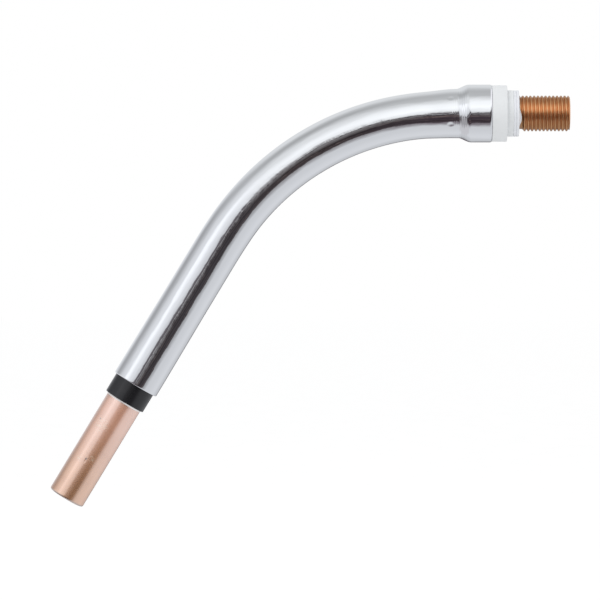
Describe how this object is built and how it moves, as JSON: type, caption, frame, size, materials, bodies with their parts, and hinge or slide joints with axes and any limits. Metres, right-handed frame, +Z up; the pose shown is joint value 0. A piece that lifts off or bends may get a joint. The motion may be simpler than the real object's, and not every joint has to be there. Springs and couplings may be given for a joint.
{
  "type": "mig torch neck",
  "caption": "Bent neck of a MIG welding torch: chromed jacket with a rear bell, copper nose in a black bush, white flanged insulator and threaded copper stud.",
  "frame": {"origin": "on the rear stud's axis, where the stud leaves the seal washers", "axes": "+X along the rear stud, out of the neck; +Z up, so that the neck bends down towards -X and -Z; the bend lies in the XZ plane"},
  "size_m": [0.2046, 0.0228, 0.1665],
  "materials": {
    "jacket_chrome": "polished",
    "tube_copper": "drawn",
    "nose_copper": "satin",
    "stud_copper": "machined",
    "hard_solder": "as brazed",
    "sleeve_silicone": "coated glass braid",
    "black_bush": "moulded",
    "white_nylon": "moulded",
    "seal_white": "smooth, slightly translucent"
  },
  "bodies": {
    "root": {"outer_jacket": "jacket_chrome", "conductor_tube": "tube_copper", "nose_connector": "nose_copper", "nose_braze_ring": "hard_solder", "rear_stud": "stud_copper", "rear_braze_ring": "hard_solder", "insulating_sleeve": "sleeve_silicone", "nose_insulator": "black_bush", "rear_insulator": "white_nylon", "inner_seal_washer": "seal_white", "outer_seal_washer": "seal_white"}
  },
  "joints": []
}
